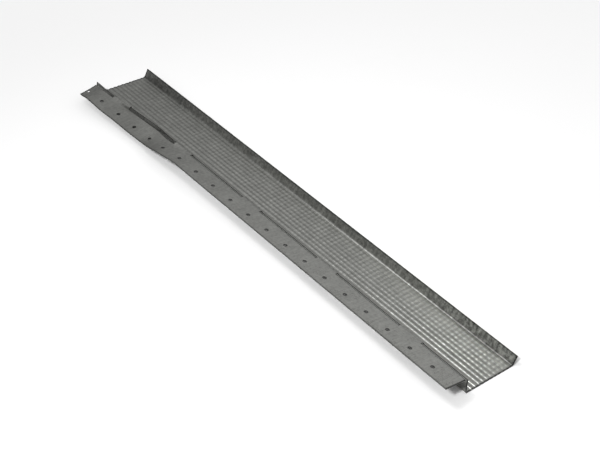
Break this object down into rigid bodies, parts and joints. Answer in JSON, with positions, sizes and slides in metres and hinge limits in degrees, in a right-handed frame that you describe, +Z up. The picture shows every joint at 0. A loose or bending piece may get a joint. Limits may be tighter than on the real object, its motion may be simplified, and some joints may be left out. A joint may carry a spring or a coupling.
{
  "type": "resilient bar",
  "caption": "Cut length of roll-formed galvanised steel bar with ribbed face, slotted web, punched fixing flange and lip, for hanging a ceiling board off joists.",
  "frame": {"origin": "under the middle of the bar's length and overall width, level with the face's lands", "axes": "X along the bar, the bent end at -X; the punched flange at -Y, the lip at +Y; Z up from the face"},
  "size_m": [0.502, 0.0828, 0.0195],
  "materials": {
    "galvanised_steel": "galvanised, dull"
  },
  "bodies": {
    "root": {"resilient_bar": "galvanised_steel"}
  },
  "joints": []
}
